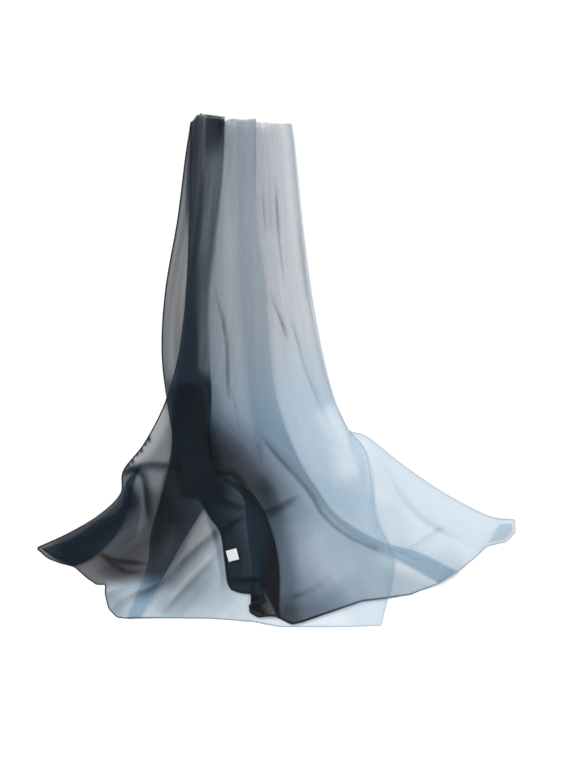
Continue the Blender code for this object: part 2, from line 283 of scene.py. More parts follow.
# %% Narrow creases: a height above 0 is a ridge, and one below 0 a pressed valley
CREASES = (
    Fold(2.2, 10, ((-56, 413), (-74, 392), (-79, 367), (-81, 325), (-78, 217))),  # gathered part
    Fold(1.6, 8, ((-84, 408), (-82, 367), (-84, 300))),
    Fold(-1.6, 14, ((-102, 150), (-99, 117), (-91, 97), (-84, 50), (-84, 0), (-81, -83))),
    Fold(-1.2, 10, ((-109, 383), (-104, 350), (-99, 283))),
    Fold(-1.4, 11, ((-129, 0), (-132, -50), (-128, -117))),
    Fold(-1.2, 13, ((-24, 283), (-21, 242), (-16, 200))),
    Fold(-1.5, 14, ((-1, 300), (6, 200), (16, 117))),
    Fold(-1.2, 12, ((-14, 133), (-4, 108), (6, 83))),
    Fold(-1.6, 15, ((14, 117), (29, 58), (46, 0), (69, -47))),
    Fold(1.4, 11, ((-150, 300), (-162, 150), (-168, 20), (-160, -80))),
    Fold(-1.8, 14, ((118, -103), (126, -125), (134, -150))),  # right wing
    Fold(2.0, 10, ((139, -125), (144, -175))),
    Fold(-1.8, 16, ((156, -150), (181, -175), (206, -213), (231, -238), (281, -268), (336, -292))),
    Fold(-1.0, 9, ((194, -297), (222, -312))),
    Fold(1.8, 10, ((219, -295), (248, -278), (268, -265))),
    Fold(1.8, 12, ((-119, -153), (-106, -167), (-72, -173), (-61, -187))),  # below the waist
    Fold(-1.6, 12, ((-108, -205), (-86, -213), (-61, -225), (-36, -228))),
    Fold(-1.6, 14, ((-11, -242), (14, -230), (31, -212))),
    Fold(1.6, 10, ((-86, -267), (-74, -253), (-52, -242))),
    Fold(1.4, 9, ((-81, -338), (-61, -345), (-31, -345))),
    Fold(1.6, 11, ((31, -378), (48, -370), (86, -347))),
    Fold(-2.2, 15, (  # left wing
        (-254, -177), (-239, -172), (-224, -177), (-218, -200), (-218, -225), (-214, -250),
    )),
    Fold(2.6, 10, ((-229, -183), (-224, -208))),
    Fold(1.8, 10, ((-254, -175), (-244, -163), (-228, -158), (-186, -158))),
    Fold(1.6, 11, ((-294, -310), (-261, -317), (-228, -320))),
    Fold(1.4, 10, ((-281, -313), (-252, -328), (-236, -332))),
    Fold(-1.8, 14, ((-91, -258), (-144, -308), (-219, -367))),
    Fold(1.8, 12, ((-94, -292), (-136, -350), (-181, -400))),
)


def rise(points):
    """How far all the relief lifts the cloth at these points."""
    broad = [f.height * (1 - eased(near(points, f.path)[0] / f.width)) for f in RIDGES]
    total = np.max(broad, axis=0)
    for fold in CREASES:
        distance, place, _ = near(points, curved(fold.path))
        total = total + fold.height * faded(place, 4) * bell(distance, fold.width)
    heap = HEAP.height * (1 - eased(near(points, HEAP.path)[0] / HEAP.width))
    return total + heap


# %% [markdown]
# ## Stacking the layers
# A folded sheet is a stack. Seen from the side, each stretch between two long lines lies on the ones
# below it, and comes down to the table a little way past their edges. The stack is worked out once, on a
# coarse grid of points, and every vertex then reads its height from it.

# %% How much each stretch lifts what lies on it
FLOOR_GAP = 0.4  # between the lowest layer and the table
PITCH = 1.0  # from one layer to the next
KEEP, REACH = 3.0, 26.0  # an upper layer is at full height up to KEEP past an edge, and down at REACH
LOFT, LOFT_SPREAD = 2.4, 14  # air under the cloth, in mm, which is gone at its edges, and how softly
STEP = 4.0  # of the coarse grid
THINNED = 3  # every third point of an outline is enough to measure from
LOWEST, HIGHEST = np.array([-430.0, -455.0]), np.array([430.0, 455.0])
TIP_TURN = ((372, -256), (362, -269), (352, -288)), ((392, -256), (393, -269), (380, -282))


def outline_of(plan):
    return np.vstack([plan[0, :-1], plan[:-1, -1], plan[-1, :0:-1], plan[:0:-1, 0]])


def is_inside(points, ring):
    start, stop = ring, np.roll(ring, -1, axis=0)
    x, y = points[:, :1], points[:, 1:]
    spans = (start[:, 1] > y) != (stop[:, 1] > y)
    rising = np.where(stop[:, 1] == start[:, 1], 1, stop[:, 1] - start[:, 1])
    crossing = start[:, 0] + (y - start[:, 1]) / rising * (stop[:, 0] - start[:, 0])
    return (spans & (x < crossing)).sum(1) % 2 == 1


def cover(points, ring):
    """1 on a stretch and just past its edge, falling smoothly to 0 at REACH."""
    ring = ring[::THINNED]
    away = near(points, np.vstack([ring, ring[:1]]))[0]
    away[is_inside(points, ring)] = 0
    return 1 - eased((away - KEEP) / (REACH - KEEP))


# %% The stack, from the table up
LOWER_ORDER = (0, 1, 2, 3, 4, 5, 6)  # the layer of each stretch of the lower tail, dark to pale
TIP_LAYER = 7
UPPER_ORDER = (12, 12, 12, 11, 10, 9, 8)  # the upper tail is turned over, so its pale side is lowest

size = np.floor((HIGHEST - LOWEST) / STEP).astype(int) + 1
gx, gy = np.meshgrid(np.arange(size[0]), np.arange(size[1]), indexing="ij")
lattice = LOWEST + STEP * np.column_stack([gx.ravel(), gy.ravel()])
tip_plan = np.stack([np.array(TIP_TURN[0], float), np.array(TIP_TURN[1], float)], axis=1)
layer_plans = {TIP_LAYER: tip_plan}
for table_plan, order in ((lower_plan, LOWER_ORDER), (upper_plan, UPPER_ORDER)):
    for layer in sorted(set(order)):
        spans = [k for k, found in enumerate(order) if found == layer]
        layer_plans[layer] = table_plan[:, STARTS[spans[0]]:STARTS[spans[-1] + 1] + 1]
inside = np.zeros(len(lattice), bool)
for layer_plan in layer_plans.values():
    inside |= is_inside(lattice, outline_of(layer_plan)[::THINNED])
air = inside.reshape(size).astype(float)
for _ in range(LOFT_SPREAD):
    air[1:-1, 1:-1] = (air[1:-1, 1:-1] + air[:-2, 1:-1] + air[2:, 1:-1] + air[1:-1, :-2] + air[1:-1, 2:]) / 5
thickness = np.zeros((len(layer_plans) + 1, *size))
thickness[0] = LOFT * eased(2 * air - 0.9)  # none where the blurred air is under 0.45, all over 0.95
for layer in range(len(layer_plans)):
    lifted = PITCH * cover(lattice, outline_of(layer_plans[layer])).reshape(size)
    thickness[layer + 1] = thickness[layer] + lifted
print("the stack is", round(float(thickness.max()), 1), "mm of cloth at its highest")


def stacked(points, layer):
    """The height of the layers below this one, read between the coarse grid's points."""
    place = np.clip((points - LOWEST) / STEP, 0, size - 1.001)
    corner = place.astype(int)
    fx, fy = (place - corner).T
    x, y = corner.T
    t = thickness[layer]
    low = t[x, y] * (1 - fx) + t[x + 1, y] * fx
    high = t[x, y + 1] * (1 - fx) + t[x + 1, y + 1] * fx
    return low * (1 - fy) + high * fy


# %% [markdown]
# ## The sheet
# A vertex on a fold belongs to two layers, so it takes the mean of their heights, and that rounds the
# fold. Where the cloth turns from the lower tail up into the upper one, each column follows half an
# ellipse. Fine lengthwise wrinkles, which belong to the cloth and not to the stack, come last.

# %% Heights of the tails
def tail_heights(plan, order):
    rows, columns = plan.shape[:2]
    flat = plan.reshape(-1, 2)
    base = FLOOR_GAP + rise(flat)
    left = np.repeat(order, COLUMNS)
    left = np.r_[left[:1], left]
    right = np.r_[left[1:], left[-1:]]
    total = np.zeros((rows, columns))
    for side in (left, right):
        for layer in sorted(set(side)):
            on = side == layer
            total[:, on] += stacked(plan[:, on].reshape(-1, 2), layer).reshape(rows, -1) / 2
    return base.reshape(rows, columns) + total


lower_z = tail_heights(lower_plan, LOWER_ORDER)
upper_z = tail_heights(upper_plan, UPPER_ORDER)
print("tails are up to", round(lower_z.max(), 1), "and", round(upper_z.max(), 1), "mm high")

# %% Shares across the cut, from the dark hem to the pale one
def shares_across(plan):
    steps = np.linalg.norm(np.diff(plan, axis=1), axis=2)
    whole = np.concatenate([np.zeros((len(plan), 1)), np.cumsum(steps, axis=1)], axis=1)
    return whole / whole[:, -1:]


def shares_along(plan):
    steps = np.linalg.norm(np.diff(plan, axis=0), axis=2).mean(1)
    whole = np.r_[0, np.cumsum(steps)]
    return whole / whole[-1]


# %% The turn at the top
TOP_FOLD = (  # how far the turn reaches past the top line at each x
    (-142, 10), (-131, 18), (-111, 16), (-94, 13), (-61, 7), (-41, 8), (-19, 11), (-8, 6), (24, 6),
)
TURN_ROWS = 12
CURVE_POINTS = 60
curve = smooth(TOP_FOLD, np.linspace(0, len(TOP_FOLD) - 1, CURVE_POINTS))
reach = np.interp(upper_plan[0, :, 0], curve[:, 0], curve[:, 1])
drop = upper_z[0] - lower_z[0]
turn = np.linspace(-np.pi / 2, np.pi / 2, TURN_ROWS + 2)[1:-1, None]
turn_y = upper_plan[0, :, 1] + reach * drop / drop.max() * np.cos(turn)
turn_z = lower_z[0] + drop * (1 + np.sin(turn)) / 2
turn_plan = np.stack([np.broadcast_to(upper_plan[0, :, 0], turn_y.shape), turn_y], axis=2)

# %% One grid for the whole cloth, from the lower end hem over the top to the upper end hem
plan = np.concatenate([lower_plan[::-1], turn_plan, upper_plan])
height = np.concatenate([lower_z[::-1], turn_z, upper_z])
half = shares_along(upper_plan)
turn_share = shares_across(upper_plan)[:1]
u = np.concatenate([
    shares_across(lower_plan)[::-1], np.repeat(turn_share, TURN_ROWS, axis=0), shares_across(upper_plan),
])
v = np.r_[0.5 * (1 - shares_along(lower_plan)[::-1]), np.full(TURN_ROWS, 0.5), 0.5 + 0.5 * half]
v = np.repeat(v[:, None], u.shape[1], axis=1)

# %% Fine wrinkles that run along the cloth
Wrinkle = namedtuple("Wrinkle", "height waves drift start")
WRINKLES = (  # height in mm, waves across the cut, how they wander along it, where they start
    Wrinkle(0.25, 15, 3.0, 0.3), Wrinkle(0.18, 24, -4.0, 2.1), Wrinkle(0.08, 37, 5.0, 4.4),
)
wave = sum(
    w.height * np.sin(2 * np.pi * (w.waves * u + 0.5 * np.sin(w.drift * v * 2 + w.start)) + w.start)
    for w in WRINKLES
)
patches = 0.6 + 0.4 * np.sin(9 * v + 5 * u)  # the wrinkles are deeper in some places than in others
height = np.maximum(height + wave * patches, FLOOR_GAP)
cloth = np.dstack([plan, height])

# %% [markdown]
# ## Where the dye, the hidden gathers and the painted shade lie
# The dye runs across the cut, from one long edge to the other, but its front wanders: dip dyeing never
# leaves a straight line, and hand pleating hides some of the cloth's width. So each vertex gets a place on
# the dye: its share of the way across the sheet, and a shift that changes along it. Sheer cloth also looks
# darker where more of it is bunched, on a pressed crease or over hidden pleats, and lighter where it is
# pulled thin. Each vertex gets that too, as a number of extra layers, and the same number also carries
# painted shade beside creases, folds and hems and painted highlight along some ridges. Both travel in a
# second UV map.

# %% How far the dye's front is shifted along the cloth, from the lower end hem to the upper one
SHIFTS = (
    (0.00, -0.10), (0.05, -0.16), (0.09, -0.23), (0.17, -0.22), (0.235, -0.06), (0.32, 0.10),
    (0.68, 0.10), (0.77, 0.03), (0.83, -0.05), (0.86, -0.04), (0.91, 0.04), (1.00, 0.02),
)
PALE_FROM, PALE_TO = 0.50, 0.80  # the shift fades out between these shares, because the pale side is even
dye_place = u + np.interp(v, *zip(*SHIFTS)) * (1 - eased((u - PALE_FROM) / (PALE_TO - PALE_FROM)))
DARKEST, DARKEST_TO = 0.3, 0.22  # the dark hem takes the most dye, fading out by this share across
dye_place -= DARKEST * (1 - eased(u / DARKEST_TO))

# %% The pale corner of the lower tail, as a rise on the dye, half width in mm, path
CORNER_FROM, CORNER_FADE = 0.3, 0.4  # it fades out from this share across the sheet, over that share
PALE_CORNER = Fold(0.70, 86, ((-252, -410), (-238, -408), (-200, -424), (-150, -440)))
distance = near(lower_plan.reshape(-1, 2), PALE_CORNER.path)[0].reshape(lower_plan.shape[:2])
corner = PALE_CORNER.height * (1 - eased(distance / PALE_CORNER.width))
corner[:, :COLUMN_OF["wing_tuck"]] = 0
corner_fade = 1 - eased((u[:len(corner)] - CORNER_FROM) / CORNER_FADE)
dye_place[:len(corner)] += corner[::-1] * corner_fade
DARK_ROOM = 0.25  # the map starts this far before the dark edge, to hold the darkest shifts
dye_place = (np.clip(dye_place, -DARK_ROOM, 1) + DARK_ROOM) / (1 + DARK_ROOM)

# %% Bunched and thin cloth, with painted shade and painted highlight: extra layers, half width in mm, path
LOWER_BUNCHES_AND_SHADE = (
    Fold(1.8, 33, ((-138, -3), (-139, -67), (-141, -133), (-138, -183), (-134, -230))),
    Fold(0.9, 37, ((-248, -193), (-264, -230), (-294, -260), (-334, -288), (-378, -303))),
    Fold(0.55, 50, ((-198, -187), (-214, -237), (-244, -300), (-284, -360))),
    Fold(0.3, 23, ((-158, -142), (-168, -183), (-174, -217), (-181, -258))),
    Fold(1.1, 12, (
        (-268, -183), (-251, -172), (-238, -168), (-224, -177),
        (-219, -200), (-216, -225), (-211, -270),
    )),
    Fold(-0.4, 7, ((-228, -177), (-224, -208), (-226, -250), (-238, -297))),
    Fold(1, 15, ((-254, -180), (-246, -197), (-241, -217), (-246, -240))),
    Fold(1, 15, ((-151, -163), (-194, -157), (-219, -157), (-244, -165), (-268, -187))),
    Fold(-0.42, 25, ((-254, -167), (-221, -127), (-199, -90), (-184, -50))),
    Fold(2.2, 4, ((-215, -107), (-212, -122))),
    Fold(1.8, 4, ((-221, -115), (-218, -128))),
    Fold(2.2, 4, ((-228, -123), (-225, -140))),
    Fold(1.8, 4, ((-234, -132), (-232, -145))),
    Fold(2.2, 4, ((-243, -142), (-240, -158))),
    Fold(1.6, 4, ((-250, -150), (-247, -163))),
    Fold(0.8, 8, ((-201, -322), (-258, -317), (-281, -310), (-308, -298))),
    Fold(0.7, 8, ((-208, -330), (-248, -335), (-274, -320), (-301, -298))),
    Fold(0.25, 15, (
        (-234, -393), (-211, -367), (-186, -330), (-158, -303),
        (-148, -267), (-139, -233), (-128, -197),
    )),
    Fold(0.6, 10, ((-181, -153), (-189, -192), (-194, -225), (-211, -275))),
    Fold(0.8, 17, (
        (-61, -230), (-98, -267), (-128, -293), (-164, -327),
        (-191, -355), (-228, -370), (-261, -388), (-284, -417),
    )),
    Fold(-0.35, 10, ((-91, -292), (-128, -325), (-169, -367), (-186, -393))),
    Fold(0.4, 10, ((-78, -277), (-119, -327), (-152, -363), (-186, -400), (-201, -423))),
    Fold(-0.4, 23, ((-174, -247), (-184, -292), (-201, -342))),
    Fold(0.6, 40, ((-288, -367), (-281, -392), (-274, -420))),
    Fold(0.75, 15, ((-141, -200), (-118, -233), (-101, -283), (-91, -342), (-91, -383))),
    # painted shade along the lower end hem
    Fold(0.4, 40, ((-298, -393), (-211, -393), (-128, -380), (-54, -367))),
    Fold(0.3, 30, ((-194, -420), (-169, -392), (-136, -358), (-102, -317))),
    Fold(-0.45, 37, ((89, -50), (119, -117), (126, -183))),
    Fold(0.5, 8, ((142, -100), (152, -158), (158, -217), (168, -275), (179, -317))),
    Fold(-0.3, 23, ((-44, -403), (39, -420), (139, -420))),
)
UPPER_BUNCHES_AND_SHADE = (
    Fold(1.7, 45, ((-148, -3), (-146, -67), (-142, -133), (-129, -190), (-108, -237))),
    Fold(0.36, 50, ((-134, -80), (-91, -123), (-48, -167), (9, -220), (72, -283))),
    Fold(-0.4, 13, ((-98, 0), (-91, -50), (-78, -97))),
    Fold(1, 10, ((-108, 180), (-99, 117), (-91, 87), (-84, 42), (-82, -17), (-78, -110))),
    Fold(0.6, 8, ((-76, -13), (-69, -58), (-59, -117))),
    Fold(-0.4, 8, ((-81, 133), (-74, 67), (-69, 0))),
    # painted highlight: fewer layers along the light ridge that runs down from the top fold
    Fold(-0.75, 10, (
        (-51, 433), (-64, 400), (-74, 380), (-79, 350),
        (-81, 300), (-81, 217), (-78, 133),
    )),
    Fold(-0.6, 8, ((-89, 430), (-82, 383), (-79, 330))),
    Fold(-0.5, 7, ((-38, 427), (-56, 397), (-72, 367))),
    Fold(-0.4, 8, ((-38, 430), (-38, 333), (-36, 250), (-28, 167))),
    Fold(1.6, 15, ((-101, 440), (-94, 420), (-91, 397))),
    Fold(1.6, 13, ((-51, -383), (-31, -400), (-11, -415))),
    Fold(0.9, 10, ((-138, 430), (-148, 317), (-146, 200))),
    Fold(0.9, 8, ((-24, 333), (-21, 258), (-16, 200), (-6, 133))),
    Fold(0.8, 8, ((-4, 350), (1, 258), (8, 183), (22, 87))),
    Fold(0.9, 8, ((-19, 167), (-8, 120), (6, 83), (26, 30))),
    Fold(0.8, 9, ((8, 147), (22, 87), (36, 42), (48, -3), (69, -53), (92, -110))),
    Fold(0.4, 20, ((-24, 417), (-18, 317), (-11, 217))),
    Fold(0.35, 15, ((32, 283), (39, 183), (52, 83))),
    Fold(1.1, 43, ((-128, -180), (-102, -230), (-74, -292), (-64, -350), (-44, -425))),
    Fold(0.8, 13, ((-34, -233), (-61, -227), (-84, -217), (-104, -207), (-131, -193))),
    Fold(0.6, 10, ((-101, -290), (-84, -268), (-68, -253), (-38, -238))),
    Fold(1, 10, ((-8, -345), (-51, -348), (-74, -347), (-101, -343))),
    Fold(0.8, 12, ((-131, -157), (-104, -172), (-74, -173), (-59, -190), (-44, -217))),
    Fold(0.7, 13, ((46, -203), (12, -223), (-8, -233), (-34, -240))),
    Fold(-0.3, 37, ((32, -242), (69, -300), (114, -358))),
    Fold(0.6, 23, ((-32, -160), (-12, -217), (1, -267), (14, -317), (21, -367), (19, -433))),
    Fold(0.4, 30, ((-8, -430), (39, -407), (81, -390), (122, -370))),
    Fold(0.6, 7, ((6, -382), (39, -375), (64, -363), (99, -338))),
    Fold(0.9, 12, (
        (-51, -13), (-41, -75), (-24, -112), (6, -150), (39, -187), (59, -212),
        (76, -242), (114, -275), (156, -295), (198, -315), (239, -333), (299, -367),
    )),
    Fold(-0.5, 23, ((159, -293), (206, -317), (256, -337), (309, -370))),
    Fold(-0.3, 8, ((-28, -90), (9, -130), (32, -153), (52, -183))),
    Fold(-0.5, 8, ((49, -163), (69, -195), (89, -228), (119, -253), (169, -278), (212, -298))),
    Fold(0.35, 22, ((66, -170), (89, -200), (114, -222), (142, -237))),
    Fold(-0.5, 33, ((69, -50), (98, -100), (114, -150), (119, -200))),
    Fold(0.6, 12, ((111, -70), (122, -117), (132, -147), (149, -200))),
    Fold(-0.6, 11, ((138, -103), (146, -142), (151, -183), (158, -233))),
    Fold(0.35, 17, ((154, -197), (166, -250), (169, -283), (151, -317))),
    Fold(0.5, 10, ((158, -127), (181, -163), (202, -203), (231, -237), (264, -263), (332, -297))),
    Fold(0.6, 8, ((289, -253), (248, -278), (226, -292), (196, -305))),
    Fold(0.6, 8, ((179, -290), (206, -303), (249, -323))),
    Fold(0.4, 40, ((176, -370), (222, -347), (272, -333), (316, -307))),
    Fold(0.3, 23, ((179, -217), (206, -267), (202, -297))),
)
THIN_FOLD = Fold(-0.8, 30, (  # the dark fold of both tails is stretched thin along this path
    (-92, 420), (-97, 367), (-106, 283), (-112, 200), (-115, 100), (-117, 0), (-116, -70),
))
THINNEST = -0.9  # the fewest extra layers: a tenth of one layer is left
PLEATS = (  # small hidden pleats in the gathered part, in extra layers
    Wrinkle(0.20, 9, 6.0, 0.4), Wrinkle(0.16, 17, -9.0, 2.2), Wrinkle(0.12, 29, 12.0, 4.1),
)


# %% Extra layers at every vertex, painted shade and highlight among them
# A narrow mark's soft left side is painted shade falling away from its crease, and painted highlight where
# its height is below 0.
BROAD = 20  # bunches this wide are level in the middle, and narrower ones are sharp on their right side
SHARP = 0.4  # the width of the sharp side as a share of the soft one


def bunched_and_shaded(tail, bunches_and_shade):
    """Extra layers over a tail's plan, painted shade and highlight among them. The two stretches that are
    turned under are only ever thinned.
    """
    flat = tail.reshape(-1, 2)
    extra = np.zeros(len(flat))
    for bunch_and_shade in bunches_and_shade:
        distance, place, left = near(flat, curved(bunch_and_shade.path))
        if bunch_and_shade.width >= BROAD:
            profile = bell(distance, bunch_and_shade.width, steep=1.3, power=2.6)
            fade = faded(place, 7)
        else:
            profile = bell(distance, np.where(left, bunch_and_shade.width, SHARP * bunch_and_shade.width))
            fade = faded(place, 3)
        extra += bunch_and_shade.height * fade * profile
    extra = extra.reshape(tail.shape[:2])
    distance, place, _ = near(flat, THIN_FOLD.path)
    thin = THIN_FOLD.height * faded(place, 6) * bell(distance, THIN_FOLD.width, steep=1.3, power=4)
    dark = slice(COLUMN_OF["dark_tuck"])
    extra[:, dark] += thin.reshape(tail.shape[:2])[:, dark]
    for first, last in (("dark_fold", "dark_tuck"), ("mid_fold", "mid_tuck")):
        under = slice(COLUMN_OF[first] + 1, COLUMN_OF[last])
        extra[:, under] = np.minimum(extra[:, under], 0)
    return extra


extra = np.concatenate([
    bunched_and_shaded(lower_plan, LOWER_BUNCHES_AND_SHADE)[::-1],
    np.zeros((TURN_ROWS, u.shape[1])),
    bunched_and_shaded(upper_plan, UPPER_BUNCHES_AND_SHADE),
])
GATHERED_TO, GATHERED_FADE = 0.33, 0.2  # shares of the length: no pleats past one, over the other
SPREAD_PLEATS = 0.15  # how much of the pleats is left where the tails are spread
gathered = eased((GATHERED_TO - np.abs(v - 0.5)) / GATHERED_FADE)
strength = SPREAD_PLEATS + (1 - SPREAD_PLEATS) * gathered
for pleat in PLEATS:
    wander = 0.25 * np.sin(pleat.drift * (v - 0.5) + pleat.start)
    extra += pleat.height * strength * np.sin(2 * np.pi * (pleat.waves * u + wander) + pleat.start)
extra = np.maximum(extra, THINNEST)
print("extra layers go from", round(float(extra.min()), 2), "to", round(float(extra.max()), 2))

# %% Turning a grid into an object
def add_mesh(name, points, faces):
    mesh = bpy.data.meshes.new(name)
    mesh.from_pydata((np.asarray(points, float) * MM).tolist(), [], np.asarray(faces).tolist())
    mesh.shade_smooth()
    mesh.update()
    made = bpy.data.objects.new(name, mesh)
    bpy.context.scene.collection.objects.link(made)
    return made


def quads_of(rows, columns):
    index = np.arange(rows * columns).reshape(rows, columns)
    return np.stack([index[:-1, :-1], index[1:, :-1], index[1:, 1:], index[:-1, 1:]], axis=2).reshape(-1, 4)


def give_map(made, name, first, second):
    """A UV map with these two numbers at each vertex."""
    loops = np.zeros(len(made.data.loops), int)
    made.data.loops.foreach_get("vertex_index", loops)
    layer = made.data.uv_layers.new(name=name)
    layer.data.foreach_set("uv", np.column_stack([np.ravel(first), np.ravel(second)])[loops].ravel())


sheet = add_mesh("chiffon_sheet", cloth.reshape(-1, 3), quads_of(*cloth.shape[:2]))
give_map(sheet, "cut", u, v)  # shares of the cut: across it from the dark hem, along it from the lower end
give_map(sheet, "dye", dye_place, extra)
print("the sheet has", 2 * len(sheet.data.polygons), "triangles")

# %% The tip of the right wing, turned in under it
TIP_POINTS = 9  # along each side of its grid
side = np.linspace(0, 1, TIP_POINTS)
rim = [smooth(line, 2 * side) for line in TIP_TURN]
tip = rim[0][:, None] + (rim[1] - rim[0])[:, None] * side[:, None]
tip_z = FLOOR_GAP + rise(tip.reshape(-1, 2)) + stacked(tip.reshape(-1, 2), TIP_LAYER)
tip_points = np.column_stack([tip.reshape(-1, 2), tip_z])
turned_tip = add_mesh("turned_tip", tip_points, quads_of(TIP_POINTS, TIP_POINTS))
tip_along, tip_across = np.meshgrid(side, side, indexing="ij")  # its cut is by the upper end's pale corner
give_map(turned_tip, "cut", 0.94 + 0.05 * tip_across, 0.95 + 0.04 * tip_along)
give_map(turned_tip, "dye", np.full_like(tip_across, 0.98), np.zeros_like(tip_across))

# %% [markdown]
# ## The rolled hem
# Chiffon frays, so its maker rolls each edge over a couple of millimetres and overlocks it. A hem is
# therefore a thin, flattened cord of cloth along the edge. It could be a curve with a bevel, but the edge
# turns back on itself at every tuck, and a curve would twist there. A tube whose cross section is set by
# the edge and by the way out of the cloth stays sound.

# %% A tube along an edge
Edge = namedtuple("Edge", "rows inner across lengthwise width")
FLATNESS = 0.6  # a hem's thickness as a share of its width
HEM_OUT = 0.35  # how far out of the cloth's edge a hem's middle lies, as a share of its width
LEAST_HEIGHT = 0.1  # of any point of a hem or a stitch above the table
DARK_WIDTHS = ((0, 2.2), (0.15, 2.0), (0.8, 2.0), (0.86, 4.2), (1, 4.4))  # share along the hem, mm
LOWER_END_WIDTHS = ((0, 2.2), (0.3, 1.8), (1, 1.6))
UPPER_END_WIDTHS = ((0, 4.2), (0.3, 3.8), (0.5, 2.8), (0.7, 2.0), (1, 1.8))
PALE_WIDTHS = ((0, 1.4), (1, 1.4))


def edge_of(rows, inner, across, lengthwise, run, widths):
    """An edge of the cloth: its points, the ones next to them, their shares of the cut, and the widths."""
    return Edge(rows, inner, across, lengthwise, np.interp(run, *zip(*widths)))


EDGES = (  # the dark and the pale long edge, and the lower and the upper end
    edge_of(cloth[:, 0], cloth[:, 1], np.zeros(len(cloth)), v[:, 0], v[:, 0], DARK_WIDTHS),
    edge_of(cloth[:, -1], cloth[:, -2], np.ones(len(cloth)), v[:, 0], v[:, 0], PALE_WIDTHS),
    edge_of(cloth[0], cloth[1], u[0], v[0], u[0], LOWER_END_WIDTHS),
    edge_of(cloth[-1], cloth[-2], u[-1], v[-1], u[-1], UPPER_END_WIDTHS),
)
HEM_SIDES = 8


def unit(vectors):
    return vectors / np.maximum(np.linalg.norm(vectors, axis=-1, keepdims=True), 1e-9)


def frames_along(edge, inner):
    """At each point of an edge: the way along it, out of the cloth, and through the cloth."""
    run = unit(np.gradient(edge, axis=0))
    out = edge - inner
    out = unit(out - (out * run).sum(1, keepdims=True) * run)
    return run, out, np.cross(run, out)


# %% The four hems, as one piece
points, faces, across, lengthwise = [], [], [], []
first = 0
for edge in EDGES:
    run, out, through = frames_along(edge.rows, edge.inner)
    turn = np.linspace(0, 2 * np.pi, HEM_SIDES, endpoint=False)[:, None, None]
    width = edge.width[:, None]
    middle = edge.rows + out * width * HEM_OUT
    ring = middle + (np.cos(turn) * out + np.sin(turn) * through * FLATNESS) * width / 2
    count = len(edge.rows)
    index = first + np.arange(HEM_SIDES * count).reshape(HEM_SIDES, count)
    after = np.roll(index, -1, axis=0)
    corners = [index[:, :-1], after[:, :-1], after[:, 1:], index[:, 1:]]
    faces += np.stack(corners, axis=2).reshape(-1, 4).tolist()
    points.append(ring.reshape(-1, 3))
    across.append(np.tile(edge.across, HEM_SIDES))
    lengthwise.append(np.tile(edge.lengthwise, HEM_SIDES))
    first += HEM_SIDES * count
hem_points = np.vstack(points)
hem_points[:, 2] = np.maximum(hem_points[:, 2], LEAST_HEIGHT)
hem = add_mesh("rolled_hem", hem_points, faces)
give_map(hem, "cut", np.concatenate(across), np.concatenate(lengthwise))
print("the hem has", 2 * len(faces), "triangles")

# %% [markdown]
# ## Overlock stitches
# The roll is held by thread that wraps over it every few millimetres. Each stitch here is a short bowed
# bar of thread across the hem. All of them are joined in one mesh, because more than a thousand objects
# would be slow.

# %% Stitches
STITCH_PITCH, THREAD = 3.2, 0.55
ARC_POINTS, THREAD_POINTS = 6, 3  # along a stitch and across its thread
STITCH_POINTS = ARC_POINTS * THREAD_POINTS
BOW = np.linspace(-0.45, 0.95, ARC_POINTS)[:, None] * np.pi  # round the outer side, top and inner side
LEAN = 0.8  # how far a stitch runs along the hem, in mm
CLEAR = 0.1  # of the thread's middle off the hem
points, faces, across, lengthwise = [], [], [], []
first = 0
for edge in EDGES:
    length = lengths_of(edge.rows)
    at = np.arange(STITCH_PITCH, length[-1], STITCH_PITCH)
    run, out, through = frames_along(edge.rows, edge.inner)
    facing = np.where(through[:, 2:] < 0, -1, 1)
    through = through * facing
    middle = edge.rows + out * edge.width[:, None] * HEM_OUT
    widths = np.interp(at, length, edge.width)
    place, run, out, through = (
        np.stack([np.interp(at, length, values[:, k]) for k in range(3)], axis=1)
        for values in (middle, run, out, through)
    )
    run, out, through = unit(run), unit(out), unit(through)
    for centre, ahead, outward, upward, width in zip(place, run, out, through, widths):
        arc = (
            centre
            + np.cos(BOW) * outward * (width / 2 + CLEAR)
            + np.sin(BOW) * upward * (width * FLATNESS / 2 + CLEAR)
            + np.linspace(-0.5, 0.5, ARC_POINTS)[:, None] * LEAN * ahead
        )
        away = unit(arc - centre)
        behind, top, front = arc - ahead * THREAD / 2, arc + away * THREAD / 2, arc + ahead * THREAD / 2
        points.append(np.stack([behind, top, front], axis=1).reshape(-1, 3))
        faces += (first + quads_of(ARC_POINTS, THREAD_POINTS)).tolist()
        first += STITCH_POINTS
    across.append(np.repeat(np.interp(at, length, edge.across), STITCH_POINTS))
    lengthwise.append(np.repeat(np.interp(at, length, edge.lengthwise), STITCH_POINTS))
stitch_points = np.vstack(points)
stitch_points[:, 2] = np.maximum(stitch_points[:, 2], LEAST_HEIGHT)
stitches = add_mesh("overlock_stitches", stitch_points, faces)
give_map(stitches, "cut", np.concatenate(across), np.concatenate(lengthwise))
print("there are", len(stitch_points) // STITCH_POINTS, "stitches")

# %% [markdown]
# ## The care label
# A small plain woven tape, sewn on the dark hem by one edge. It is thicker and stiffer than chiffon, so
# it keeps a slight curl of its own. A plain plane would do for a far view, but a real tape has two sides
# and a cut edge, so this one is a thin closed solid.

